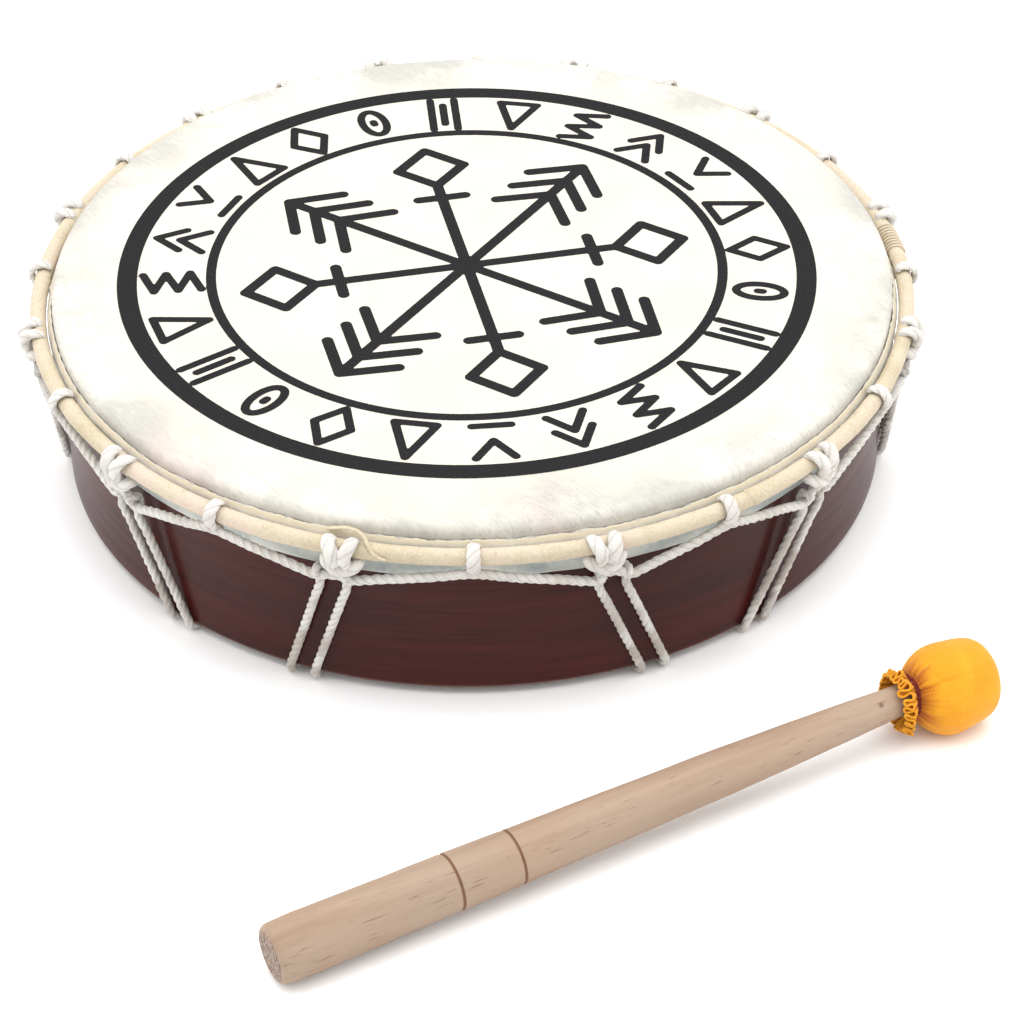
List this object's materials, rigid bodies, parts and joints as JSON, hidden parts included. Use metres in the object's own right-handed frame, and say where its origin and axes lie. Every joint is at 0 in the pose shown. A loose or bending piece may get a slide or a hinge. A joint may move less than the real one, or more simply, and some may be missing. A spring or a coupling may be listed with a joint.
{
  "type": "frame drum",
  "caption": "Shallow frame drum with a hide head laced over a wooden hoop frame, a corded back with a hand ring, and a padded beater lying beside it",
  "frame": {"origin": "on the drum's axis, in the plane of the surface that the drum stands on", "axes": "+Z out of the playing face, up as the drum lies; -Y is the side where the beater lies; +X to the right of someone on that side"},
  "size_m": [0.4236, 0.5609, 0.0924],
  "materials": {
    "frame_wood": "dark red-brown stain under gloss varnish, fine horizontal grain",
    "hide": "scraped natural goat hide, matte, cream with greyer mottling and hair specks towards the edge",
    "hide_wrap": "strip of yellow-cream hide wound on the hoop",
    "hoop_cane": "plain bent cane, hidden under its wrapping",
    "lacing_cord": "soft off-white twisted cotton cord",
    "ring_steel": "plain welded steel ring",
    "beater_wood": "bare pale hardwood, turned, with fine brown pores",
    "beater_cloth": "golden orange-yellow finely ribbed stretch cloth",
    "padding_felt": "wool felt stuffing",
    "binding_thread": "dark purple-brown thread"
  },
  "bodies": {
    "drum": {"frame_shell": "frame_wood", "drum_head": "hide", "head_hoop": "hoop_cane", "hoop_wrap": "hide_wrap", "hoop_splice_binding": "hide_wrap", "hoop_knots": "lacing_cord", "hoop_loops": "lacing_cord", "girdle_cord": "lacing_cord", "tension_cords_01": "lacing_cord", "tension_cords_02": "lacing_cord", "tension_cords_03": "lacing_cord", "tension_cords_04": "lacing_cord", "tension_cords_05": "lacing_cord", "tension_cords_06": "lacing_cord", "tension_cords_07": "lacing_cord", "tension_cords_08": "lacing_cord", "tension_cords_09": "lacing_cord", "tension_cords_10": "lacing_cord", "tension_cords_11": "lacing_cord", "tension_cords_12": "lacing_cord", "hand_ring": "ring_steel"},
    "beater": {"beater_stick": "beater_wood", "beater_padding": "padding_felt", "beater_cover": "beater_cloth", "beater_binding": "binding_thread"}
  },
  "joints": [
    {"name": "beater_lift", "type": "slide", "parent": "drum", "child": "beater", "axis": [0, 0, 1], "range_m": [0, 0.3]}
  ]
}
